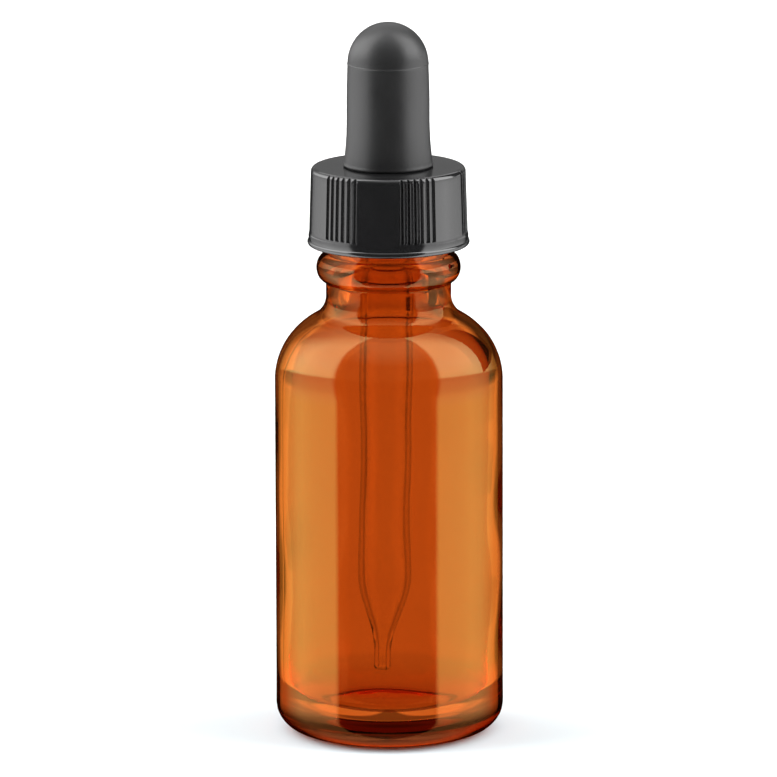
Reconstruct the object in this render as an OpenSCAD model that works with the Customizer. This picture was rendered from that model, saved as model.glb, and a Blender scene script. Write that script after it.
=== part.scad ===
// Dropper bottle for ink: a round-shouldered amber glass bottle with a 20-400
// screw neck, a ribbed screw cap, a rubber bulb clamped by its flange under the
// cap's panel, and a glass pipette held in the bulb.
// Millimetres, +Z up. The origin is the centre of the plane the bottle stands on.

/* [Bottle] */
// Outside diameter of the body
body_d = 32.8; // [30:0.1:36]
// Height of the top of the straight wall
wall_top = 51.4; // [40:0.1:60]
// Outside radius of the heel
heel_r = 4.1; // [2:0.1:5]
// Thickness of the side wall
wall_t = 2.1; // [1.4:0.1:2.4]
// Thickness of the floor at its edge
floor_t = 3.6; // [2.4:0.1:4]
// Rise of the push-up in the middle of the base
pushup_h = 1.2; // [0.4:0.1:1.5]
// Width of the shoulder curve, from the wall inwards
shoulder_w = 11.9; // [11:0.1:12.5]
// Height of the shoulder curve
shoulder_h = 10.9; // [10:0.1:12]
// Radius of the fillet between shoulder and neck
neck_fillet = 3.4; // [2.5:0.1:4]
// Diameter of the neck under the bead
neck_d = 18.0; // [17.4:0.1:18.6]
// Diameter of the mouth's bore
bore_d = 10.6; // [9.6:0.1:11.4]

/* [Screw finish, 20-400] */
// Height of the lip above the base
lip_z = 79.35; // [79.2:0.05:79.4]
// Diameter of the finish between threads
finish_d = 17.4; // [17.2:0.1:17.6]
// Diameter over the bottle's thread
thread_d = 19.6; // [19.4:0.1:19.8]
// Rise of the thread in one turn
pitch = 3.175; // [3.175:0.001:3.175]
// Length of the bottle's thread, degrees of turn
thread_turn = 414; // [380:1:430]

/* [Screw cap] */
// Height of the cap's lower edge when it is screwed down
cap_z = 71.1; // [71:0.1:71.3]
// Height of the cap's top face when it is screwed down
cap_top = 82.4; // [82.2:0.1:82.6]
// Thickness of the cap's top panel
panel_t = 1.4; // [1.2:0.05:1.5]
// Diameter over the flange at the cap's lower edge
flange_d = 23.24; // [23:0.02:23.6]
// Diameter of the skirt just over the flange
skirt_low_d = 22.7; // [22.5:0.1:22.9]
// Diameter of the skirt under its top edge
skirt_top_d = 22.18; // [22:0.02:22.3]
// Inside diameter of the skirt
cap_bore_d = 20.1; // [20:0.1:20.3]
// Diameter of the hole that the bulb stands in
hole_d = 12.2; // [12:0.1:12.6]
// Number of ribbed panels round the skirt
panels = 6; // [4:1:8]
// Grip grooves in one ribbed panel
grooves = 6; // [3:1:6]
// Angle from one groove to the next
groove_step = 5; // [4.5:0.1:5]
// Width of a groove at the skirt's surface
groove_w = 0.62; // [0.4:0.02:0.7]
// Depth of a groove
groove_deep = 0.4; // [0.2:0.02:0.5]
// Bearing of the middle of the first ribbed panel
panel_at = -67.7; // [-90:0.1:90]

/* [Rubber bulb] */
// Height of the top of the bulb
bulb_top = 103.2; // [100:0.1:106]
// Height of the parting line, where the dome starts
dome_z = 97.25; // [95:0.05:98]
// Diameter of the dome where it starts
dome_d = 11.62; // [11:0.02:12]
// Diameter of the rim that sits on the cap
rim_d = 12.9; // [12.6:0.1:13.4]
// Diameter of the sealing flange under the cap's panel
seal_d = 18; // [16:0.1:18.4]
// Thickness of the bulb's wall
bulb_t = 1.3; // [1:0.1:1.6]

/* [Glass pipette] */
// Outside diameter of the tube
tube_d = 7.5; // [7:0.1:7.6]
// Thickness of the tube's wall
tube_t = 0.9; // [0.7:0.05:1.1]
// Length from tip to top
tube_len = 76; // [70:1:76]
// Height of the tip above the base
tip_z = 8.7; // [8:0.1:9]
// Diameter of the tip's narrow part
tip_d = 2.5; // [2.2:0.1:3.2]
// Lean of the tube from upright
lean = 0.7; // [0:0.1:0.8]

/* [Hidden] */
$fn = 96;
body_r = body_d / 2;
bore_r = bore_d / 2;
finish_r = finish_d / 2;
cap_bore_r = cap_bore_d / 2;
hole_r = hole_d / 2;
panel_z = cap_top - panel_t; // underside of the cap's panel

// clearance above and below the bulb's sealing flange
seal_gap = 0.05;
seal_low = lip_z + seal_gap;
seal_top = panel_z - seal_gap;

// the middle of the bottle's thread ends this far under the lip
thread_end_drop = 1.6;
thread_low = lip_z - thread_end_drop - pitch * thread_turn / 360;
// how far the cap's thread hangs under the bottle's
cap_thread_drop = 1.42;
cap_thread_turn = 350;
cap_thread_r = 9.12; // at the crest
// how deep a thread's root is sunk in its wall
thread_sink = 0.12;

// upper end of the skirt's taper, and the height used for the grooves' slope
taper_top = 81.5;
taper_h = 8.5;
groove_z = 73.05;

// height of the point the pipette leans about
pivot_z = seal_top + 2;

function reverse(list) = [for (i = [len(list) - 1:-1:0]) list[i]];

// Ellipses: radii are [across, up], and angles are the ellipse's parameter
function on_ellipse(centre, radii, angle) =
    centre + [radii[0] * cos(angle), radii[1] * sin(angle)];
function arc(centre, radii, from, to, steps) =
    [for (i = [0:steps]) on_ellipse(centre, radii, from + (to - from) * i / steps)];
// unit normal, pointing outwards
function normal(radii, angle) =
    let (across = [radii[1] * cos(angle), radii[0] * sin(angle)])
    across / norm(across);

// angle on a shoulder ellipse where a fillet tangent to the neck meets it, by bisection
function meet(centre, radii, fillet, neck_r, low = 5, high = 89, tries = 26) =
    let (middle = (low + high) / 2,
         fillet_x = on_ellipse(centre, radii, middle)[0] + fillet * normal(radii, middle)[0])
    tries == 0 ? middle
    : fillet_x > neck_r + fillet
      ? meet(centre, radii, fillet, neck_r, middle, high, tries - 1)
      : meet(centre, radii, fillet, neck_r, low, middle, tries - 1);

// a shoulder ellipse and the fillet that turns it up into the neck
function shoulder(centre, radii, fillet, neck_r) =
    let (angle = meet(centre, radii, fillet, neck_r),
         out = normal(radii, angle),
         fillet_at = on_ellipse(centre, radii, angle) + fillet * out)
    concat(arc(centre, radii, 0, angle, 18),
           arc(fillet_at, [fillet, fillet], 180 + atan2(out[1], out[0]), 180, 10));

// [radius, z] points of a tube that opens along half a cosine wave
function drawn(low_r, high_r, low_z, high_z, steps = 12) =
    [for (i = [0:steps])
        let (s = i / steps)
        [low_r + (high_r - low_r) * (1 - cos(180 * s)) / 2, low_z + (high_z - low_z) * s]];

// A rounded ridge wound on a helix, faded out over fade degrees at both ends.
// start_z is the height of its middle at angle 0; turn is its length in degrees.
// It stands outwards, or inwards if crest_r is less than root_r.
module ridge(root_r, crest_r, half_w, start_z, turn, fade = 30, steps = 6) {
    sections = ceil(turn / 10);
    ring = steps + 1; // points in one section
    points = [
        for (i = [0:sections])
            let (angle = turn * i / sections,
                 size = max(0.04, sin(90 * min(1, angle / fade, (turn - angle) / fade))))
            for (j = [0:steps])
                let (s = j / steps,
                     r = root_r + (crest_r - root_r) * size * pow(sin(180 * s), 0.8),
                     z = start_z + pitch * angle / 360
                         + half_w * (2 * s - 1) * (0.6 + 0.4 * size))
                [r * cos(angle), r * sin(angle), z]];
    sides = [
        for (i = [0:sections - 1], j = [0:steps])
            let (k = (j + 1) % ring, this = i * ring, next = this + ring)
            each [[this + j, next + j, next + k], [this + j, next + k, this + k]]];
    ends = [[for (j = [0:steps]) j], [for (j = [steps:-1:0]) sections * ring + j]];
    faces = concat(sides, ends);
    polyhedron(points, crest_r > root_r ? [for (face = faces) reverse(face)] : faces,
               convexity = 6);
}

// amber glass bottle: push-up base, heel, wall, shoulder, neck, bead, thread and lip
module bottle() color([0.62, 0.24, 0.05, 0.6]) {
    foot_r = body_r - heel_r;
    shoulder_at = [body_r - shoulder_w, wall_top];
    shoulder_radii = [shoulder_w, shoulder_h];
    bead_z = 67.75;
    bead_radii = [1.67, 2.1];
    lip_outer = 0.8; // rounding of the lip's edges
    lip_inner = 0.6;
    inner_heel = 4.4;
    inner_fillet = 9; // thickens the glass from the shoulder up into the neck
    outside = concat(
        // push-up, from the axis out to the foot
        [[0, pushup_h], [foot_r - 4, pushup_h * 0.92], [foot_r - 2.6, pushup_h * 0.55],
         [foot_r - 1.9, pushup_h * 0.2], [foot_r - 1.4, 0]],
        arc([foot_r, heel_r], [heel_r, heel_r], -90, 0, 10),
        shoulder(shoulder_at, shoulder_radii, neck_fillet, neck_d / 2),
        arc([finish_r, bead_z], bead_radii, -79, 90, 12),
        arc([finish_r - lip_outer, lip_z - lip_outer], [lip_outer, lip_outer], 0, 90, 5),
        arc([bore_r + lip_inner, lip_z - lip_inner], [lip_inner, lip_inner], 90, 180, 4));
    inside = concat(
        reverse(shoulder(shoulder_at, shoulder_radii - [wall_t, wall_t], inner_fillet, bore_r)),
        arc([body_r - wall_t - inner_heel, floor_t + inner_heel],
            [inner_heel, inner_heel], 0, -90, 10),
        [[6, floor_t + 0.35], [0, floor_t + 0.5]]);
    rotate_extrude() polygon(concat(outside, inside));
    ridge(finish_r - thread_sink, thread_d / 2, half_w = 1.05,
          start_z = thread_low, turn = thread_turn);
}

// cutter for one grip groove, sloped with the skirt and running out past its top
module groove_cut() {
    slope = atan((skirt_low_d - skirt_top_d) / 2 / taper_h);
    floor_half = groove_w * 0.27;
    mouth_half = groove_w * 0.62;
    overshoot = 0.3;
    translate([skirt_low_d / 2, 0, groove_z]) rotate([0, -slope, 0])
        linear_extrude(12)
            polygon([[-groove_deep, -floor_half], [overshoot, -mouth_half],
                     [overshoot, mouth_half], [-groove_deep, floor_half]]);
}

// black screw cap: flange, tapered skirt with ribbed panels, open top panel, inner thread
module screw_cap() color([0.07, 0.07, 0.075]) {
    flange_r = flange_d / 2;
    skirt_low_r = skirt_low_d / 2;
    skirt_top_r = skirt_top_d / 2;
    difference() {
        rotate_extrude() polygon(concat(
            [[cap_bore_r + 0.35, cap_z], [flange_r - 0.25, cap_z]],
            arc([flange_r - 0.35, cap_z + 0.4], [0.35, 0.4], -60, 60, 5),
            [[skirt_low_r + 0.12, cap_z + 1.55], [skirt_low_r, cap_z + 1.85],
             [skirt_top_r, taper_top]],
            arc([skirt_top_r - 0.75, cap_top - 0.75], [0.73, 0.75], 5, 90, 6),
            [[hole_r + 0.25, cap_top], [hole_r, cap_top - 0.25], [hole_r, panel_z],
             [cap_bore_r - 0.4, panel_z], [cap_bore_r, panel_z - 0.4],
             [cap_bore_r, cap_z + 0.5]]));
        for (i = [0:panels - 1], j = [0:grooves - 1])
            rotate(panel_at + i * 360 / panels + (j - (grooves - 1) / 2) * groove_step)
                groove_cut();
    }
    ridge(cap_bore_r + thread_sink, cap_thread_r, half_w = 0.78,
          start_z = thread_low - cap_thread_drop, turn = cap_thread_turn);
}

// black rubber bulb: sealing flange, waist in the cap's hole, rim, tapered barrel and dome
module rubber_bulb() color([0.10, 0.10, 0.105]) {
    seal_r = seal_d / 2;
    waist_r = hole_r - 0.1;
    rim_z = cap_top + 0.02;
    dome_r = dome_d / 2;
    room_r = dome_r - bulb_t;
    room_dome_z = dome_z - 0.3;
    grip_r = tube_d / 2 + 0.09; // bore round the pipette
    // [radius, z] up the barrel
    barrel = [[6.12, 85], [5.97, 87.6], [5.945, 91.5], [dome_r + 0.09, 94.1]];
    rotate_extrude() polygon(concat(
        [[grip_r + 0.3, seal_low], [seal_r - 0.3, seal_low], [seal_r, seal_low + 0.3],
         [seal_r, seal_top - 0.2], [seal_r - 0.2, seal_top],
         [waist_r, seal_top], [waist_r, rim_z]],
        arc([rim_d / 2 - 0.3, rim_z + 0.4], [0.3, 0.4], -90, 0, 5),
        barrel,
        arc([0, dome_z], [dome_r, bulb_top - dome_z], 0, 90, 16),
        arc([0, room_dome_z], [room_r, bulb_top - bulb_t - room_dome_z], 90, 0, 12),
        [[room_r, 89], [grip_r, 88], [grip_r, seal_low + 0.3]]));
}

// clear glass pipette: straight tube drawn down to a narrow tip, its top leaning towards +X
module glass_pipette() color([0.85, 0.9, 0.9, 0.5]) {
    tube_r = tube_d / 2;
    tube_bore_r = tube_r - tube_t;
    tip_r = tip_d / 2;
    tip_bore_r = tip_r - 0.75;
    // heights over the tip of the ends of the drawn-down part
    drawn_low = 2.6;
    drawn_high = 14.2;
    translate([0, 0, pivot_z]) rotate([0, lean, 0]) translate([0, 0, tip_z - pivot_z])
        rotate_extrude() polygon(concat(
            [[tip_bore_r + 0.1, 0], [tip_r - 0.1, 0], [tip_r + 0.08, 0.25], [tip_r, 0.8]],
            drawn(tip_r, tube_r, drawn_low, drawn_high),
            [[tube_r, tube_len - 0.3], [tube_r - 0.3, tube_len],
             [tube_bore_r + 0.2, tube_len], [tube_bore_r, tube_len - 0.2]],
            reverse(drawn(tip_bore_r, tube_bore_r, drawn_low, drawn_high)),
            [[tip_bore_r, 0.2]]));
}

bottle();
screw_cap();
rubber_bulb();
glass_pipette();
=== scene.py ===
"""Amber glass dropper bottle: bottle, ribbed screw cap, glass pipette and rubber bulb.

It stands on z = 0 with its axis on Z, and the camera looks from -Y. The pieces are turned
profiles of (radius, z) points in millimetres; everything given to Blender is in metres.
"""
import math

import bpy
import numpy as np
from mathutils import Matrix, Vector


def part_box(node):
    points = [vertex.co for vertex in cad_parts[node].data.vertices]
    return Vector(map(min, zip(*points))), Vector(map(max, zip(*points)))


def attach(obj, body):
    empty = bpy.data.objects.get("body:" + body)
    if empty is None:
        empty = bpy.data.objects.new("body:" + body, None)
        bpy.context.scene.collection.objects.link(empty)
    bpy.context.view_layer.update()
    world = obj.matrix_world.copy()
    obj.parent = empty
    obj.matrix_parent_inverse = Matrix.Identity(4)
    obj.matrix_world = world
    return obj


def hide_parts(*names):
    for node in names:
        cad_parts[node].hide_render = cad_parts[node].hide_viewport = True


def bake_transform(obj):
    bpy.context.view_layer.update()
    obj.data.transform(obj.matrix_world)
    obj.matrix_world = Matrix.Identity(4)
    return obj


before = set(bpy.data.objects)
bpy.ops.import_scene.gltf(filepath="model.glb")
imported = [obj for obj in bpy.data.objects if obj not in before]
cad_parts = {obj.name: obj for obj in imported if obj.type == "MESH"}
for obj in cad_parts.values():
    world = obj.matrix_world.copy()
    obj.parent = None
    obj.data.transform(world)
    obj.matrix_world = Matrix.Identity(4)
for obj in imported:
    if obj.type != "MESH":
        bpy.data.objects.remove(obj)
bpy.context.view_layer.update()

MM = 0.001

# ---------------------------------------------------------------- shared sizes, millimetres
_, bottle_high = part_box("bottle")
cap_low, cap_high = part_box("screw_cap")
bulb_low, bulb_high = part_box("rubber_bulb")
BODY_RADIUS = bottle_high.x / MM
LIP = bottle_high.z / MM
CAP_BOTTOM, CAP_TOP = cap_low.z / MM, cap_high.z / MM
FLANGE_RADIUS = cap_high.x / MM
CAP_HOLE = 6.1                      # radius of the hole in the cap's top
CAP_CEILING = CAP_TOP - 1.4         # underside of the cap's top
SEAL_BOTTOM, BULB_TOP = bulb_low.z / MM, bulb_high.z / MM
SEAL_RADIUS = bulb_high.x / MM
SEAL_TOP = CAP_CEILING - 0.05

PITCH = 3.175
THREAD_TURN = 414.0                 # degrees
THREAD_START = LIP - 1.6 - PITCH * THREAD_TURN / 360


# ---------------------------------------------------------------- profiles
def arc(centre, across, up, start, end, steps=12, skip=False):
    """Points of an ellipse from start to end degrees; skip leaves out the first."""
    points = []
    for i in range(1 if skip else 0, steps + 1):
        angle = math.radians(start + (end - start) * i / steps)
        points.append((centre[0] + across * math.cos(angle), centre[1] + up * math.sin(angle)))
    return points


def lines(start, *legs):
    """Points along straight legs of (end, longest step), without the start."""
    points = []
    for end, step in legs:
        count = max(1, int(math.ceil(math.dist(start, end) / step)))
        points += [(start[0] + (end[0] - start[0]) * i / count,
                    start[1] + (end[1] - start[1]) * i / count) for i in range(1, count + 1)]
        start = end
    return points


def shoulder(centre, across, up, fillet, neck):
    """A shoulder ellipse, and the fillet that turns it up into a neck of that radius."""
    def fillet_centre(degrees):
        cos, sin = math.cos(math.radians(degrees)), math.sin(math.radians(degrees))
        size = math.hypot(up * cos, across * sin)
        normal = (up * cos / size, across * sin / size)
        return (centre[0] + across * cos + fillet * normal[0],
                centre[1] + up * sin + fillet * normal[1]), normal

    # halve the range until the fillet just touches the neck
    low, high = 5.0, 89.0
    for _ in range(40):
        if fillet_centre((low + high) / 2)[0][0] > neck + fillet:
            low = (low + high) / 2
        else:
            high = (low + high) / 2
    end = (low + high) / 2
    at, normal = fillet_centre(end)
    start = 180 + math.degrees(math.atan2(normal[1], normal[0]))
    return arc(centre, across, up, 0, end, 40), arc(at, fillet, fillet, start, 180, 24, skip=True)


# ---------------------------------------------------------------- surface detail
def fade_in(value, start, span):
    return np.clip((value - start) / span, 0, 1)


def fade_out(value, end, span):
    return np.clip((end - value) / span, 0, 1)


def between(value, start, end, span):
    return fade_in(value, start, span) * fade_out(value, end, span)


def helix_ridge(angle, z, start, turn, half_width, fade=30.0):
    """How far a thread's ridge stands, 0 to 1; angle, turn and fade are in degrees."""
    best = np.zeros(np.broadcast(angle, z).shape)
    for k in range(-1, 4):
        along = (angle % 360.0) + 360.0 * k
        inside = (along >= 0) & (along <= turn)
        ends = np.sin(np.radians(90 * np.clip(np.minimum(along, turn - along) / fade, 0, 1)))
        half = half_width * (0.6 + 0.4 * ends)
        offset = (z - (start + PITCH * along / 360.0)) / np.maximum(half, 1e-6)
        crest = np.cos(np.pi / 2 * np.clip(offset, -1, 1)) ** 0.8
        ridge = np.where(np.abs(offset) < 1, crest, 0.0) * ends
        best = np.maximum(best, np.where(inside, ridge, 0.0))
    return best


def soft_noise(seed, terms, most_lobes, lengths):
    """A smooth, seeded sum of waves over angle and height, within -1 to 1."""
    rng = np.random.default_rng(seed)
    waves = [(int(rng.integers(1, most_lobes + 1)), rng.uniform(*lengths),
              rng.uniform(0, 2 * math.pi), rng.uniform(0, 2 * math.pi), rng.uniform(0.5, 1.0))
             for _ in range(terms)]
    total = sum(wave[4] for wave in waves)

    def noise_at(angle, z):
        height = 0.0
        for lobes, length, turn_phase, rise_phase, size in waves:
            height = height + (size * np.cos(np.radians(angle) * lobes + turn_phase)
                               * np.cos(2 * math.pi * z / length + rise_phase))
        return height / total

    return noise_at


# ---------------------------------------------------------------- turned meshes
def add_object(name, data):
    made = bpy.data.objects.new(name, data)
    bpy.context.scene.collection.objects.link(made)
    return made


def even_angles(count):
    return np.arange(count) * 360.0 / count


def signed_volume(mesh):
    mesh.calc_loop_triangles()
    points = np.zeros(len(mesh.vertices) * 3)
    mesh.vertices.foreach_get("co", points)
    corners = np.zeros(len(mesh.loop_triangles) * 3, int)
    mesh.loop_triangles.foreach_get("vertices", corners)
    a, b, c = points.reshape(-1, 3)[corners.reshape(-1, 3).T]
    return np.einsum("ij,ij->i", a, np.cross(b, c)).sum() / 6


def lathe(name, profile, angles, shape, loop=False, place=None, sharp=None):
    """Turns a profile round Z, with columns at the given angles in degrees.

    The profile starts and ends on the axis, or closes on itself with loop. shape(radius, z,
    angle, row) gives new radius and z arrays; the axis points aren't rows. Edges bent by
    more than sharp degrees are marked sharp.
    """
    angles = np.array(angles, float)
    points = np.array(profile, float)
    if not loop:
        pole_heights = points[0, 1], points[-1, 1]
        points = points[1:-1]
    rows, columns = len(points), len(angles)
    radius, z = shape(np.repeat(points[:, :1], columns, 1), np.repeat(points[:, 1:], columns, 1),
                      angles[None, :], np.arange(rows)[:, None])
    turn = np.radians(angles)[None, :]
    verts = np.stack([radius * np.cos(turn), radius * np.sin(turn), z], -1).reshape(-1, 3)

    i = np.arange(rows if loop else rows - 1)[:, None]
    j = np.arange(columns)[None, :]
    next_i, next_j = (i + 1) % rows, (j + 1) % columns
    faces = np.stack([i * columns + j, i * columns + next_j,
                      next_i * columns + next_j, next_i * columns + j], -1).reshape(-1, 4).tolist()
    if not loop:
        verts = np.vstack([verts] + [[0, 0, height] for height in pole_heights])
        first, last = rows * columns, rows * columns + 1
        end = (rows - 1) * columns
        faces += [[first, (k + 1) % columns, k] for k in range(columns)]
        faces += [[last, end + k, end + (k + 1) % columns] for k in range(columns)]
    if place is not None:
        verts = (np.array(place.to_3x3()) @ verts.T).T + np.array(place.translation)

    mesh = bpy.data.meshes.new(name)
    mesh.from_pydata((verts * MM).tolist(), [], faces)
    mesh.validate()
    if signed_volume(mesh) < 0:
        mesh.flip_normals()
    mesh.shade_smooth()
    if sharp is not None:
        mesh.set_sharp_from_angle(angle=math.radians(sharp))
    return add_object(name, mesh)


# ---------------------------------------------------------------- bottle
WALL, FLOOR = 2.1, 3.6              # glass thickness at the side and the floor's edge
FOOT_ROUND = 4.1
PUSH_UP, PUSH_UP_RADIUS = 1.2, 8.3  # hollow under the base
RING_RADIUS = 10.9                  # inner edge of the bearing ring
SHOULDER_Z = 51.4
SHOULDER_ACROSS, SHOULDER_UP = 11.9, 10.9
NECK = 9.0
FINISH, THREAD_CREST, BORE = 8.7, 9.8, 5.3    # radii
LIP_OUTER, LIP_INNER = 0.8, 0.6     # roundings of the lip
SEAM_ANGLE = 8.0                    # parting line, and again half a turn on


def make_bottle():
    foot = BODY_RADIUS - FOOT_ROUND
    curve_centre = (BODY_RADIUS - SHOULDER_ACROSS, SHOULDER_Z)
    # push-up, turning down onto the bearing ring
    profile = [(0.0, PUSH_UP)]
    profile += [(x, PUSH_UP - 0.10 * (x / PUSH_UP_RADIUS) ** 2)
                for x in np.linspace(0.6, PUSH_UP_RADIUS, 12)]
    profile += [(PUSH_UP_RADIUS + 2.6 * s, 1.1 * (1 + math.cos(math.pi * s)) / 2)
                for s in np.linspace(0, 1, 15)[1:]]
    profile += lines((RING_RADIUS, 0.0), ((foot, 0.0), 0.35))
    profile += arc((foot, FOOT_ROUND), FOOT_ROUND, FOOT_ROUND, -90, 0, 22, skip=True)
    profile += lines((BODY_RADIUS, FOOT_ROUND), ((BODY_RADIUS, SHOULDER_Z), 0.9))
    rise, neck = shoulder(curve_centre, SHOULDER_ACROSS, SHOULDER_UP, 3.4, NECK)
    profile += rise[1:] + neck
    profile += lines(profile[-1], ((NECK, 65.45), 0.4))
    # root fillet, transfer bead and the hollow over it
    profile += [(9.02, 65.6), (9.10, 65.78)]
    profile += [q for q in arc((FINISH, 67.75), 1.67, 2.1, -68, 82, 30) if q[1] > 65.83]
    profile += [(FINISH + 0.10, 69.98), (FINISH + 0.03, 70.2), (FINISH, 70.45)]
    # threaded finish and lip
    thread_first = len(profile)
    profile += lines((FINISH, 70.45), ((FINISH, LIP - LIP_OUTER), 0.13))
    thread_end = len(profile)
    profile += arc((FINISH - LIP_OUTER, LIP - LIP_OUTER), LIP_OUTER, LIP_OUTER, 0, 90, 12,
                   skip=True)
    profile += lines((FINISH - LIP_OUTER, LIP), ((BORE + LIP_INNER, LIP), 0.4))
    profile += arc((BORE + LIP_INNER, LIP - LIP_INNER), LIP_INNER, LIP_INNER, 90, 180, 8,
                   skip=True)
    # inner wall, down to the floor
    inner_first = len(profile)
    rise, neck = shoulder(curve_centre, SHOULDER_ACROSS - WALL, SHOULDER_UP - WALL, 9.0, BORE)
    inner = rise + neck
    profile += lines((BORE, LIP - LIP_INNER), (inner[-1], 0.5))
    profile += inner[::-1][1:]
    room = BODY_RADIUS - WALL
    heel = 4.4
    profile += lines((room, SHOULDER_Z), ((room, FLOOR + heel), 0.8))
    profile += arc((room - heel, FLOOR + heel), heel, heel, 0, -90, 22, skip=True)
    profile += lines((room - heel, FLOOR), ((6.0, FLOOR + 0.35), 0.5), ((0.0, FLOOR + 0.5), 0.6))

    wave = soft_noise(seed=11, terms=9, most_lobes=5, lengths=(14.0, 44.0))
    ripple = soft_noise(seed=5, terms=10, most_lobes=7, lengths=(3.0, 9.0))
    skin = soft_noise(seed=23, terms=8, most_lobes=4, lengths=(14.0, 60.0))

    def shape(radius, z, angle, row):
        row = row + 1               # counted with the axis point, as in the profile
        ridge = helix_ridge(angle, z, THREAD_START, THREAD_TURN, half_width=1.05)
        threaded = (row >= thread_first) & (row < thread_end)
        radius = np.where(threaded, radius + (THREAD_CREST - FINISH) * ridge, radius)
        # blown glass: the inner wall is never quite even, the outer skin nearly so
        inside = row >= inner_first
        uneven = 0.33 * wave(angle, z) + 0.018 * ripple(angle, z)
        radius = np.where(inside, radius + between(z, 7, 60, 6) * uneven, radius)
        outer_wall = ~inside & (z > 4.5) & (z < 64)
        sink = 0.012 * (1 + skin(angle, z)) * between(z, 4.5, 64, 4)
        radius = np.where(outer_wall, radius - sink, radius)
        # parting line, a hair proud on both sides
        away = np.abs((angle - SEAM_ANGLE + 90) % 180 - 90) * math.pi / 180 * BODY_RADIUS
        seam = np.exp(-((away / 0.16) ** 2)) * 0.028
        radius = np.where(~inside & (z > 3.2) & (z < 69.5),
                          radius + seam * fade_in(z, 3.2, 1.0) - 0.02, radius)
        # the floor's inner face ripples where the gob settled
        floor_wave = 0.05 * wave(angle, radius * 2.3) * between(radius, 0, 13.5, 4)
        return radius, np.where(inside & (z < FLOOR + 1.5), z + floor_wave, z)

    # more columns where the parting lines stand
    near_seam = np.linspace(-1.6, 1.6, 13)
    angles = np.concatenate([np.arange(0, 360, 2.0), SEAM_ANGLE + near_seam,
                             SEAM_ANGLE + 180 + near_seam])
    return lathe("bottle_glass", profile, sorted(set(np.round(angles, 4) % 360)), shape)


# ---------------------------------------------------------------- screw cap
CAP_INNER, CAP_THREAD_CREST = 10.05, 9.12     # radii
SKIRT_LOW, SKIRT_HIGH = 11.35, 11.09          # outer radius at the skirt's foot and top
SKIRT_TOP_Z = 81.5
GROOVE_FOOT_Z = 73.05
PANELS, GROOVES = 6, 6              # ribbed panels, and grooves in each
PANEL_ANGLE = -67.7                 # middle of the first panel
PANEL_STEP, PANEL_HALF, GROOVE_STEP = 60, 15, 5         # degrees
GROOVE_FLAT, GROOVE_SIDE, GROOVE_DEPTH = 0.10, 0.245, 0.40


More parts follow.
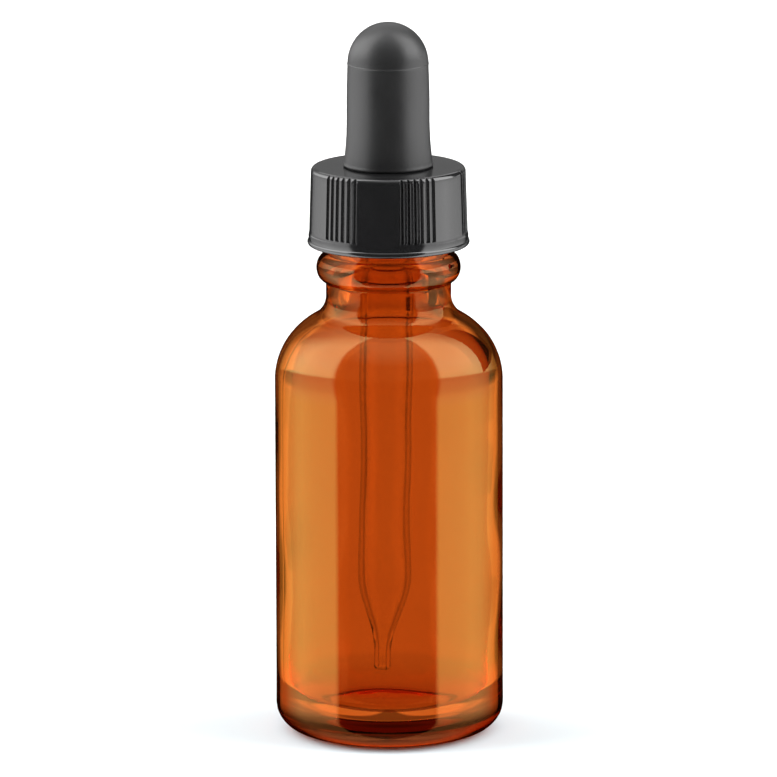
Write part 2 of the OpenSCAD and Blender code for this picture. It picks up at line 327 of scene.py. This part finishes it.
def make_cap():
    profile = [(CAP_INNER + 0.35, CAP_BOTTOM)]
    profile += lines(profile[0], ((FLANGE_RADIUS - 0.27, CAP_BOTTOM), 0.4))
    profile += arc((FLANGE_RADIUS - 0.35, CAP_BOTTOM + 0.42), 0.35, 0.42, -70, 62, 12)
    # the flange slopes in to the skirt: radius beyond the skirt's, height over the cap's foot
    profile += [(SKIRT_LOW + x, CAP_BOTTOM + z)
                for x, z in ((0.10, 1.50), (0.045, 1.66), (0.012, 1.80), (0, 1.93))]
    groove_first = len(profile)
    profile += [(SKIRT_LOW + x, CAP_BOTTOM + z)
                for x, z in ((-0.001, 1.95), (-0.002, 1.98), (-0.003, 2.02))]
    profile += lines((SKIRT_LOW - 0.003, CAP_BOTTOM + 2.02), ((SKIRT_HIGH, SKIRT_TOP_Z), 0.6))
    profile += arc((SKIRT_HIGH - 0.75, CAP_TOP - 0.75), 0.74, 0.75, 4, 90, 14)
    groove_end = len(profile)
    # top face, hole and ceiling
    profile += lines((SKIRT_HIGH - 0.75, CAP_TOP), ((CAP_HOLE + 0.28, CAP_TOP), 0.5))
    profile += arc((CAP_HOLE + 0.28, CAP_TOP - 0.28), 0.28, 0.28, 90, 180, 6, skip=True)
    profile += lines((CAP_HOLE, CAP_TOP - 0.28), ((CAP_HOLE, CAP_CEILING), 0.5),
                     ((CAP_INNER - 0.4, CAP_CEILING), 0.8))
    profile += [(CAP_INNER - 0.12, CAP_TOP - 1.52), (CAP_INNER, CAP_TOP - 1.8)]
    thread_first = len(profile)
    profile += lines((CAP_INNER, CAP_TOP - 1.8), ((CAP_INNER, CAP_BOTTOM + 0.5), 0.13))

    angles = []
    for k in range(PANELS):
        middle = PANEL_ANGLE + PANEL_STEP * k
        angles += list(middle + np.linspace(-PANEL_HALF, PANEL_HALF, GROOVES * 14 + 1))
        angles += list(middle + PANEL_HALF + np.linspace(0, 30, 13)[1:-1])
    angles = sorted(set(np.round(np.array(angles) % 360, 4)))
    uneven = np.random.default_rng(7).uniform(-0.02, 0.02, PANELS * GROOVES)

    def shape(radius, z, angle, row):
        turned = angle - PANEL_ANGLE + PANEL_STEP / 2
        in_panel = turned % PANEL_STEP - PANEL_STEP / 2       # from the nearest panel's middle
        panel = np.floor(turned / PANEL_STEP).astype(int) % PANELS
        groove = np.clip(np.floor(in_panel / GROOVE_STEP + 3), 0, GROOVES - 1).astype(int)
        from_middle = (in_panel + PANEL_HALF) % GROOVE_STEP - GROOVE_STEP / 2
        away = from_middle * math.pi / 180 * 11.2             # millimetres
        depth = np.clip((GROOVE_FLAT + GROOVE_SIDE - np.abs(away)) / GROOVE_SIDE, 0, 1)
        depth = depth * depth * (3 - 2 * depth)
        depth = (depth * (np.abs(in_panel) <= PANEL_HALF)
                 * (GROOVE_DEPTH + uneven[panel * GROOVES + groove]))
        # a groove starts square on the flange's slope and runs out through the rounded top edge
        start = fade_in(row, groove_first, 2.0)
        skirt = SKIRT_LOW - ((z - GROOVE_FOOT_Z) * (SKIRT_LOW - SKIRT_HIGH)
                             / (SKIRT_TOP_Z - GROOVE_FOOT_Z))
        grooved = (row >= groove_first + 1) & (row < groove_end) & (depth > 0)
        radius = np.where(grooved, np.minimum(radius, skirt - depth * start), radius)
        ridge = helix_ridge(angle, z, THREAD_START - 1.42, 350.0, half_width=0.78)
        inward = (CAP_INNER - CAP_THREAD_CREST) * ridge
        return np.where(row >= thread_first, radius - inward, radius), z

    return lathe("cap_plastic", profile, angles, shape, loop=True, sharp=38)


# ---------------------------------------------------------------- rubber bulb
# the barrel's outer side: z, radius
BARREL = [
    (82.62, 6.42), (83.0, 6.365), (83.5, 6.30), (84.1, 6.235), (85.0, 6.135), (85.9, 6.06),
    (86.7, 6.01), (87.6, 5.975), (88.5, 5.955), (90.5, 5.945), (92.4, 5.94), (94.1, 5.90),
    (95.9, 5.85), (97.02, 5.812),
]
# the dome's parting line, a fine raised flash with a shallow step under it:
# radius beyond the dome's, z from the dome's foot
FLASH = [(0.004, 0.12), (0.02, 0.07), (0.055, 0.03), (0.062, 0), (0.05, -0.04), (0.018, -0.09),
         (0.004, -0.15)]
DOME_RADIUS, DOME_Z = 5.81, 97.25
BULB_WALL = 1.3
GRIP_RADIUS = 3.84                  # the bore that holds the pipette
BULB_SEAT = CAP_TOP + 0.02
UNEVEN_ROWS = 130                   # only rows before this are made uneven


def make_bulb():
    profile = [(0.0, BULB_TOP)]
    profile += arc((0, DOME_Z), DOME_RADIUS, BULB_TOP - DOME_Z, 90, 2, 44, skip=True)
    profile += [(DOME_RADIUS + x, DOME_Z + z) for x, z in FLASH]
    # barrel, sampled and smoothed
    heights = np.arange(97.0, 82.75, -0.3)
    radii = np.interp(heights, *np.array(BARREL).T)
    for _ in range(3):
        radii[1:-1] = (radii[:-2] + 2 * radii[1:-1] + radii[2:]) / 4
    profile += list(zip(radii, heights))
    profile += arc((6.45 - 0.32, BULB_SEAT + 0.32), 0.32, 0.32, 0, -90, 8)
    # neck through the cap's hole, then the seal under its ceiling
    profile += lines((6.13, BULB_SEAT), ((CAP_HOLE - 0.1, BULB_SEAT), 0.3),
                     ((CAP_HOLE - 0.1, SEAL_TOP), 0.4), ((SEAL_RADIUS - 0.2, SEAL_TOP), 0.5))
    profile += arc((SEAL_RADIUS - 0.2, SEAL_TOP - 0.2), 0.2, 0.2, 90, 0, 4, skip=True)
    profile += lines((SEAL_RADIUS, SEAL_TOP - 0.2), ((SEAL_RADIUS, SEAL_BOTTOM + 0.3), 0.4))
    profile += arc((SEAL_RADIUS - 0.3, SEAL_BOTTOM + 0.3), 0.3, 0.3, 0, -90, 4, skip=True)
    profile += lines((SEAL_RADIUS - 0.3, SEAL_BOTTOM), ((GRIP_RADIUS + 0.3, SEAL_BOTTOM), 0.5))
    profile += [(GRIP_RADIUS + 0.1, SEAL_BOTTOM + 0.1), (GRIP_RADIUS, SEAL_BOTTOM + 0.3)]
    # grip and the hollow over it
    room = DOME_RADIUS - BULB_WALL
    profile += lines(profile[-1], ((GRIP_RADIUS, 88.0), 0.6), ((room, 89.0), 0.3),
                     ((room, DOME_Z - 0.3), 0.6))
    profile += arc((0, DOME_Z - 0.3), room, BULB_TOP - BULB_WALL - DOME_Z + 0.3, 0, 90, 20,
                   skip=True)
    uneven = soft_noise(seed=31, terms=7, most_lobes=3, lengths=(9.0, 40.0))

    def shape(radius, z, angle, row):
        # moulded rubber is never quite round
        outside = (z > BULB_SEAT + 0.1) & (row < UNEVEN_ROWS)
        return np.where(outside, radius * (1 - 0.0022 * (1 + uneven(angle, z))), radius), z

    return lathe("bulb_rubber", profile, even_angles(192), shape, sharp=50)


# ---------------------------------------------------------------- glass pipette
TUBE_RADIUS, TUBE_WALL, TUBE_LENGTH = 3.75, 0.9, 76.0
TIP_RADIUS = 1.25
TIP_BORE = TIP_RADIUS - 0.75
TAPER_LOW, TAPER_HIGH = 2.6, 14.2   # over the tip
TIP_Z = 8.7
PIVOT_Z = SEAL_TOP + 2              # the pipette leans about this height
LEAN = 0.7                          # degrees


def taper(tip, tube, start, end):
    """The drawn-out part between the tip's radius and the tube's; 0 is the tip's end."""
    return [(tip + (tube - tip) * ((1 - math.cos(math.pi * s)) / 2),
             TAPER_LOW + (TAPER_HIGH - TAPER_LOW) * s) for s in np.linspace(start, end, 34)[1:]]


def make_pipette():
    bore = TUBE_RADIUS - TUBE_WALL
    # outside, from the rounded tip up: radius beyond the tip's, z
    profile = [(TIP_RADIUS + x, z) for x, z in (
        (-0.42, 0.0), (-0.24, 0.02), (-0.10, 0.10), (-0.02, 0.24), (0.015, 0.45), (0.01, 0.75),
        (0, 1.1))]
    profile += lines(profile[-1], ((TIP_RADIUS, TAPER_LOW), 0.5))
    profile += taper(TIP_RADIUS, TUBE_RADIUS, 0, 1)
    profile += lines((TUBE_RADIUS, TAPER_HIGH), ((TUBE_RADIUS, TUBE_LENGTH - 0.3), 0.8))
    profile += arc((TUBE_RADIUS - 0.3, TUBE_LENGTH - 0.3), 0.3, 0.3, 0, 90, 5, skip=True)
    # inside, back down
    profile += arc((bore + 0.25, TUBE_LENGTH - 0.25), 0.25, 0.25, 90, 180, 4)
    profile += lines((bore, TUBE_LENGTH - 0.25), ((bore, TAPER_HIGH), 0.9))
    profile += taper(TIP_BORE, bore, 1, 0)
    profile += lines((TIP_BORE, TAPER_LOW), ((TIP_BORE, 0.5), 0.5))
    profile += [(TIP_BORE + 0.03, 0.22), (TIP_BORE + 0.12, 0.07), (TIP_RADIUS - 0.58, 0.01)]
    wobble = soft_noise(seed=41, terms=8, most_lobes=2, lengths=(7.0, 26.0))

    def shape(radius, z, angle, row):
        share = np.clip(radius / TUBE_RADIUS, 0, 1)
        return radius - (0.03 * share * (1 + wobble(angle, z))
                         * fade_out(z, TUBE_LENGTH - 4, 6)), z

    place = (Matrix.Translation((0, 0, PIVOT_Z)) @ Matrix.Rotation(math.radians(LEAN), 4, "Y")
             @ Matrix.Translation((0, 0, TIP_Z - PIVOT_Z)))
    return lathe("pipette_glass", profile, even_angles(128), shape, loop=True, place=place)


# ---------------------------------------------------------------- shader nodes
RAMP_SCALE = 4.0                    # ramps hold their values divided by this, to stay below 1


def plug(tree, target, values):
    """Links or sets the target's inputs, keyed by name or index."""
    for key, value in values.items():
        if isinstance(value, bpy.types.NodeSocket):
            tree.links.new(value, target.inputs[key])
        else:
            target.inputs[key].default_value = value


def node(tree, kind, *values, **named):
    """A new node: values go to its inputs in order, names to its inputs or its settings."""
    made = tree.nodes.new(kind)
    sockets = dict(enumerate(values))
    for name, value in named.items():
        if name in made.inputs.keys():
            sockets[name] = value
        else:
            setattr(made, name, value)
    plug(tree, made, sockets)
    return made


def calculate(tree, operation, *values):
    return node(tree, "ShaderNodeMath", *values, operation=operation).outputs[0]


def vector_math(tree, operation, *values, **named):
    return node(tree, "ShaderNodeVectorMath", *values, operation=operation, **named).outputs


def mix(tree, data_type, factor, a, b, **settings):
    return node(tree, "ShaderNodeMix", data_type=data_type, Factor=factor, A=a, B=b,
                **settings).outputs["Result"]


def colour_ramp(tree, factor, stops):
    """A colour ramp through stops of (position, RGB)."""
    ramp = node(tree, "ShaderNodeValToRGB", factor)
    elements = ramp.color_ramp.elements
    while len(elements) < len(stops):
        elements.new(1.0)
    for element, (position, colour) in zip(elements, stops):
        element.position = position
        element.color = (*colour, 1)
    return ramp.outputs["Color"]


def object_coordinates(tree):
    return node(tree, "ShaderNodeTexCoord").outputs["Object"]


def noise(tree, position, **settings):
    return node(tree, "ShaderNodeTexNoise", Vector=position, **settings).outputs["Fac"]


def bump(tree, height, strength, distance):
    return node(tree, "ShaderNodeBump", Strength=strength, Distance=distance,
                Height=height).outputs["Normal"]


def remap(tree, value, source, target):
    limits = {"From Min": source[0], "From Max": source[1],
              "To Min": target[0], "To Max": target[1]}
    return node(tree, "ShaderNodeMapRange", Value=value, **limits).outputs["Result"]


# ---------------------------------------------------------------- materials
# painted reflection: what the amber's outer face throws back is painted by height in metres,
# bright for the studio on the body and neck, a painted bright rim at the very foot, and painted
# shade just above it, standing for the table in the bottle's own amber shade
AMBER_PAINTED_SHINE = [
    (0.0, (3.4, 0.85, 0.27)), (0.0012, (2.4, 0.62, 0.20)), (0.0024, (0.45, 0.14, 0.04)),
    (0.0034, (0.40, 0.14, 0.04)), (0.0050, (2.0, 0.75, 0.22)), (0.0090, (2.0, 0.85, 0.22)),
    (0.0115, (0.98, 0.95, 0.22)), (0.0500, (0.98, 0.95, 0.22)), (0.0560, (0.97, 0.95, 0.42)),
    (0.0615, (0.90, 0.55, 0.22)), (0.0656, (0.70, 0.27, 0.10)), (0.0664, (1.15, 0.60, 0.26)),
    (0.0705, (1.25, 0.68, 0.34)), (0.0800, (0.90, 0.55, 0.30)),
]
# painted shade: this colour darkens the outer shine to amber at a shallow glance
AMBER_EDGE_SHADE = (0.90, 0.36, 0.17)     # tints the outer shine at a shallow glance
# heights in metres between which the shine's normal leans in, and back again
LEAN_IN, LEAN_BACK = (0.0686, 0.0692), (0.0702, 0.0708)


def new_material(name):
    made = bpy.data.materials.new(name)
    made.use_nodes = True
    tree = made.node_tree
    return made, tree, tree.nodes["Principled BSDF"]


def glass(name, through, turned, ior, sigma):
    """Glass that bends and mirrors light; gives the material, its tree, the three nodes that
    take a normal, and whether a face is seen from inside.

    through tints what passes a face, turned what is thrown back inside the wall, and sigma
    is what each metre of depth absorbs in each colour. The caller sets the outer shine's tint
    with tint_shine.
    """
    made, tree, principled = new_material(name)
    tree.nodes.remove(principled)
    bend = node(tree, "ShaderNodeBsdfRefraction", Roughness=0.0, IOR=ior, Color=(*through, 1))
    shine = node(tree, "ShaderNodeBsdfGlossy", Roughness=0.0)
    fresnel = node(tree, "ShaderNodeFresnel", IOR=ior)
    surface = node(tree, "ShaderNodeMixShader", fresnel.outputs[0], bend.outputs[0],
                   shine.outputs[0])
    densest = max(sigma)
    volume = node(tree, "ShaderNodeVolumeAbsorption", Density=densest,
                  Color=(*[1 - s / densest for s in sigma], 1))
    plug(tree, tree.nodes["Material Output"],
         {"Surface": surface.outputs[0], "Volume": volume.outputs[0]})
    backfacing = node(tree, "ShaderNodeNewGeometry").outputs["Backfacing"]

    def tint_shine(outer):
        tint = mix(tree, "RGBA", backfacing, outer, (*turned, 1))
        plug(tree, shine, {"Color": tint})
        return tint

    return made, tree, (bend, shine, fresnel), backfacing, tint_shine


def amber_glass():
    made, tree, (bend, shine, fresnel), backfacing, tint_shine = glass(
        "amber_glass", through=(0.900, 0.585, 0.320), turned=(0.91, 0.74, 0.53), ior=1.5,
        sigma=(60.0, 140.0, 210.0))
    position = object_coordinates(tree)
    height = node(tree, "ShaderNodeSeparateXYZ", position).outputs["Z"]
    top = AMBER_PAINTED_SHINE[-1][0]
    # painted reflection: the outer shine's colour and strength are painted by height from the ramp
    # above
    painted_shine = colour_ramp(tree, remap(tree, height, (0.0, top), (0.0, 1.0)),
                           [(z / top, [c / RAMP_SCALE for c in tint]) for z, tint in AMBER_PAINTED_SHINE])
    tint = tint_shine(vector_math(tree, "SCALE", painted_shine, Scale=RAMP_SCALE)[0])

    # painted shade: at a shallow glance the outer shine is darkened to amber
    facing = node(tree, "ShaderNodeLayerWeight", Blend=0.5).outputs["Facing"]
    shallow = calculate(tree, "MULTIPLY", calculate(tree, "SUBTRACT", 1.0, backfacing),
                        remap(tree, facing, (0.42, 0.62), (0.0, 1.0)))
    edge = mix(tree, "RGBA", shallow, (1, 1, 1, 1), (*AMBER_EDGE_SHADE, 1))
    plug(tree, shine, {"Color": mix(tree, "RGBA", 1.0, tint, edge, blend_type="MULTIPLY")})

    ripple = bump(tree, noise(tree, position, Scale=150.0, Detail=1.5, Roughness=0.5),
                  strength=0.02, distance=0.0002)
    for target in (bend, fresnel):
        plug(tree, target, {"Normal": ripple})
    # between these heights the shine looks outwards, past the cap that overhangs it
    flat = vector_math(tree, "MULTIPLY", position, (1, 1, 0))[0]
    outwards = vector_math(tree, "NORMALIZE", flat)[0]
    share = calculate(tree, "MULTIPLY", remap(tree, height, LEAN_IN, (0.0, 0.75)),
                      remap(tree, height, LEAN_BACK, (1.0, 0.0)))
    leaning = mix(tree, "VECTOR", share, ripple, outwards)
    plug(tree, shine, {"Normal": vector_math(tree, "NORMALIZE", leaning)[0]})
    return made


def clear_glass():
    made, _, _, _, tint_shine = glass(
        "clear_glass", through=(0.99, 0.99, 0.985), turned=(0.9, 0.9, 0.9), ior=1.40,
        sigma=(12.0, 16.0, 18.0))
    tint_shine((0.75, 0.75, 0.75, 1))
    return made


def black_material(name, dark, pale, roughness, ior, cloud, grain, strength, distance):
    """Near-black, clouded in colour and roughness, with a fine bumped grain."""
    made, tree, principled = new_material(name)
    position = object_coordinates(tree)
    clouds = noise(tree, position, **cloud)
    plug(tree, principled, {
        "Base Color": colour_ramp(tree, clouds, [(0.0, dark), (1.0, pale)]),
        "Roughness": remap(tree, clouds, (0.3, 0.7), roughness),
        "IOR": ior,
        "Normal": bump(tree, noise(tree, position, **grain), strength, distance),
    })
    return made


def black_plastic():
    return black_material(
        "black_plastic", dark=(0.0085, 0.0085, 0.0090), pale=(0.0135, 0.0135, 0.0140),
        roughness=(0.09, 0.15), ior=1.65,
        cloud=dict(Scale=260.0, Detail=4.0, Roughness=0.5),
        grain=dict(Scale=5200.0, Detail=2.0, Roughness=0.5), strength=0.05, distance=0.00004)


def black_rubber():
    return black_material(
        "black_rubber", dark=(0.0150, 0.0150, 0.0155), pale=(0.0240, 0.0240, 0.0245),
        roughness=(0.36, 0.46), ior=1.5,
        cloud=dict(Scale=180.0, Detail=5.0, Roughness=0.6),
        grain=dict(Scale=3600.0, Detail=3.0, Roughness=0.6), strength=0.12, distance=0.00006)


# ---------------------------------------------------------------- pieces
bottle = make_bottle()
cap = make_cap()
bulb = make_bulb()
pipette = make_pipette()
for piece, body, cad, slot, finish in (
    (bottle, "bottle", "bottle", "amber_glass", amber_glass()),
    (cap, "cap", "screw_cap", "black_plastic", black_plastic()),
    (pipette, "dropper", "glass_pipette", "clear_glass", clear_glass()),
    (bulb, None, "rubber_bulb", "black_rubber", black_rubber()),
):
    piece.data.materials.append(finish)
    if body is None:
        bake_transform(piece)
    else:
        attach(piece, body)
    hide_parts(cad)

# the glass bends the studio's light, without the dark underside of the cap and seal
cap.visible_transmission = False
bulb.visible_transmission = False


# ---------------------------------------------------------------- studio
def make_floor():
    half, z = 6.0, -0.00002
    mesh = bpy.data.meshes.new("floor")
    mesh.from_pydata([(-half, -half, z), (half, -half, z), (half, half, z), (-half, half, z)],
                     [], [(0, 1, 2, 3)])
    floor = add_object("floor", mesh)
    made, tree, principled = new_material("floor")
    # pale, with painted shade under the object: a little cooler and darker there, to offset the
    # amber light that falls there through the glass
    distance = vector_math(tree, "LENGTH", object_coordinates(tree))["Value"]
    colour = colour_ramp(tree, remap(tree, distance, (0.012, 0.060), (0.0, 1.0)),
                         [(0.0, (0.78, 0.885, 0.925)), (1.0, (0.93, 0.93, 0.93))])
    plug(tree, principled, {"Base Color": colour, "Roughness": 0.9, "Specular IOR Level": 0.0})
    mesh.materials.append(made)
    floor.visible_glossy = False
    floor.visible_transmission = False


BACK_FIELD = 147.0                  # azimuth where the softboxes end and the back field starts


def make_world():
    """Soft studio light that turns with the camera: a tall softbox on each side in two
    panels, a paler field behind the object, and little in front."""
    world = bpy.data.worlds.new("studio")
    bpy.context.scene.world = world
    world.use_nodes = True
    tree = world.node_tree

    def calc(operation, *values):
        return calculate(tree, operation, *values)

    def pick(factor, a, b):
        return mix(tree, "FLOAT", factor, a, b)

    def curve(value, low, high, stops):
        """A broken line through stops of (value, strength), flat beyond its ends."""
        share = calc("DIVIDE", calc("SUBTRACT", value, low), high - low)
        ramp = colour_ramp(tree, share, [((x - low) / (high - low), [y / RAMP_SCALE] * 3)
                                         for x, y in stops])
        return calc("MULTIPLY", ramp, RAMP_SCALE)

    # in camera space x is right, y is up and z is ahead
    direction = node(tree, "ShaderNodeTexCoord").outputs["Generated"]
    seen_from_camera = node(tree, "ShaderNodeVectorTransform", direction, vector_type="VECTOR",
                            convert_from="WORLD", convert_to="CAMERA").outputs[0]
    right, _, ahead = node(tree, "ShaderNodeSeparateXYZ", seen_from_camera).outputs
    up = node(tree, "ShaderNodeSeparateXYZ", direction).outputs[2]
    # degrees; azimuth is counted from the way back to the camera, alike on both sides
    azimuth = calc("MULTIPLY", calc("ARCTAN2", calc("ABSOLUTE", right),
                                    calc("MULTIPLY", ahead, -1.0)), 180 / math.pi)
    elevation = calc("MULTIPLY", calc("ARCSINE", up), 180 / math.pi)
    left = calc("LESS_THAN", right, 0.0)
    path = node(tree, "ShaderNodeLightPath").outputs

    def around(stops, angle=azimuth):
        return curve(angle, 0, 180, stops)

    def upward(stops):
        return curve(elevation, -90, 90, stops)

    # as a mirror sees it; the left softbox stands 5 degrees further round
    mirror = around([(0, 0.05), (50, 0.05), (55, 3.4), (95, 3.4), (110, 2.4), (120, 1.9),
                     (130, 1.4), (138, 0.9), (143, 0.6), (147, 0.02), (180, 0.02)],
                    calc("SUBTRACT", azimuth, calc("MULTIPLY", left, 5.0)))
    field = upward([(2, 0.0), (8, 0.24), (22, 0.24), (28, 1.2), (40, 1.2), (50, 0.4)])
    field = calc("MINIMUM", field, pick(path["Is Glossy Ray"], 0.24, 4.0))
    behind = calc("GREATER_THAN", azimuth, BACK_FIELD)
    mirror = calc("ADD", mirror, calc("MULTIPLY", behind, field))
    mirror = calc("MAXIMUM", mirror, upward([(-90, 1.0), (-52, 1.0), (-38, 0.0)]))

    # as seen through hollow glass; what leaves by the base looks at the table in the
    # bottle's own shade
    through = around([(0, 0.35), (50, 0.35), (55, 2.2), (110, 2.2), (125, 1.7), (135, 1.2),
                      (145, 1.0), (180, 1.0)])
    through = calc("MULTIPLY", through, upward([
        (-90, 0.25), (-50, 0.30), (-32, 0.85), (-17, 0.88), (-14, 1.0), (4, 1.0), (18, 0.5),
        (90, 0.5)]))

    # by light turned round inside a wall
    turned = around([(0, 0.3), (50, 0.3), (55, 2.2), (110, 2.0), (125, 1.5), (134, 1.35),
                     (152, 1.5), (157, 0.9), (161, 0.45), (180, 0.45)])
    level_gap = upward([(-10, 1.0), (-4, 0.12), (12, 0.12), (20, 1.0)])
    turned = calc("MULTIPLY", turned, calc("MAXIMUM", level_gap, calc("MULTIPLY", left, 0.75)))
    turned = calc("MAXIMUM", turned, upward([
        (-90, 0.25), (-50, 0.3), (-38, 0.9), (-30, 1.0), (-18, 0.0), (14, 0.0), (22, 0.7),
        (90, 0.7)]))

    # by light that has passed six faces
    tube = around([(0, 0.6), (136, 0.60), (146, 0.95), (166, 0.95), (172, 0.8), (180, 0.8)])

    # lower panel, gap and upper panel, by a height counted so that a panel's edge stays
    # level across a round bottle's shoulder
    cosine = calc("MAXIMUM", calc("COSINE", calc("MULTIPLY", azimuth, math.pi / 360)), 0.0)
    level = calc("DIVIDE", calc("ADD", elevation, 12.0),
                 calc("MAXIMUM", calc("POWER", cosine, 1.2), 0.2))
    panels = curve(level, -120, 140, [
        (-120, 1.0), (-0.5, 1.0), (0.4, 0.85), (12, 0.62), (33, 0.45), (36, 1.5), (90, 1.5),
        (120, 0.6), (140, 0.6)])
    # the right-hand upper panel is narrower
    right_upper = calc("MULTIPLY", calc("SUBTRACT", 1.0, left),
                       calc("GREATER_THAN", elevation, 5.0))
    cut_off = calc("MULTIPLY", right_upper, calc("GREATER_THAN", azimuth, 112.0))
    panels = pick(cut_off, panels, 0.05)

    # choose by the number of faces passed
    depth = path["Transmission Depth"]
    through = pick(calc("COMPARE", depth, 2.0, 0.4), through, turned)
    through = pick(calc("COMPARE", depth, 6.0, 0.4), through, tube)
    through = calc("MULTIPLY", through, pick(calc("GREATER_THAN", depth, 7.0), 1.0, 1.1))
    light = calc("MULTIPLY", pick(calc("GREATER_THAN", depth, 0.5), mirror, through),
                 pick(calc("LESS_THAN", azimuth, BACK_FIELD), 1.0, panels))
    light = calc("ADD", light, upward([(45, 0.0), (75, 1.2)]))
    # the camera itself sees plain white
    plug(tree, tree.nodes["Background"],
         {"Strength": pick(path["Is Camera Ray"], light, 1.0), "Color": (1, 1, 1, 1)})


def make_camera():
    lens = bpy.data.cameras.new("camera")
    camera = add_object("camera", lens)
    lens.sensor_fit = "HORIZONTAL"
    lens.sensor_width = 36.0
    lens.lens = 429.016216
    lens.clip_start, lens.clip_end = 0.05, 30.0
    lens.shift_x = -0.0005
    pitch, roll = math.radians(11.991), math.radians(-0.16)
    camera.location = (0.0, -1.300, 0.326)
    camera.rotation_euler = (Matrix.Rotation(math.radians(90) - pitch, 3, "X")
                             @ Matrix.Rotation(roll, 3, "Z")).to_euler()
    bpy.context.scene.camera = camera


make_floor()
make_world()
make_camera()
scene = bpy.context.scene
scene.view_settings.view_transform = "Standard"
scene.view_settings.look = "None"
scene.cycles.max_bounces = 24
scene.cycles.transmission_bounces = 24
scene.cycles.glossy_bounces = 24
scene.cycles.diffuse_bounces = 3
scene.cycles.sample_clamp_indirect = 8.0
scene.cycles.use_denoising = True
